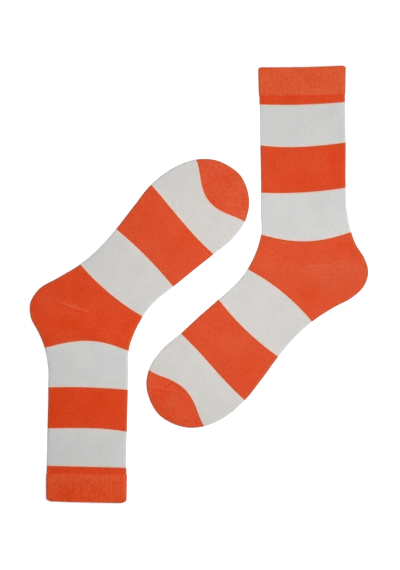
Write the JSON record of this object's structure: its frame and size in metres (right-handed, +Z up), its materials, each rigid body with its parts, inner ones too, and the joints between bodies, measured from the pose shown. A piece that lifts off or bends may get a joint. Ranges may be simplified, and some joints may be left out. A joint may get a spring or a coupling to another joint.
{
  "type": "pair of striped crew socks",
  "caption": "Pair of knitted crew socks with broad orange and off-white stripes, a ribbed welt, and orange heels and toes, laid flat on their sides, heels out.",
  "frame": {"origin": "middle of the pair's outline, on the surface that the socks lie on", "axes": "+Z up off that surface; +Y along the legs, towards the right-hand sock's cuff; +X towards the right-hand sock's heel"},
  "size_m": [0.3388, 0.4371, 0.005],
  "materials": {
    "orange_rib": "matt ribbed cotton knit, orange",
    "orange_knit": "matt fine cotton jersey, orange",
    "white_knit": "matt fine cotton jersey, off-white"
  },
  "bodies": {
    "root": {"right_welt": "orange_rib", "right_top_band": "orange_knit", "right_leg_white_upper": "white_knit", "right_leg_orange": "orange_knit", "right_leg_white_lower": "white_knit", "right_heel": "orange_knit", "right_foot_white_rear": "white_knit", "right_foot_orange": "orange_knit", "right_foot_white_front": "white_knit", "right_toe": "orange_knit", "left_welt": "orange_rib", "left_top_band": "orange_knit", "left_leg_white_upper": "white_knit", "left_leg_orange": "orange_knit", "left_leg_white_lower": "white_knit", "left_heel": "orange_knit", "left_foot_white_rear": "white_knit", "left_foot_orange": "orange_knit", "left_foot_white_front": "white_knit", "left_toe": "orange_knit"}
  },
  "joints": []
}
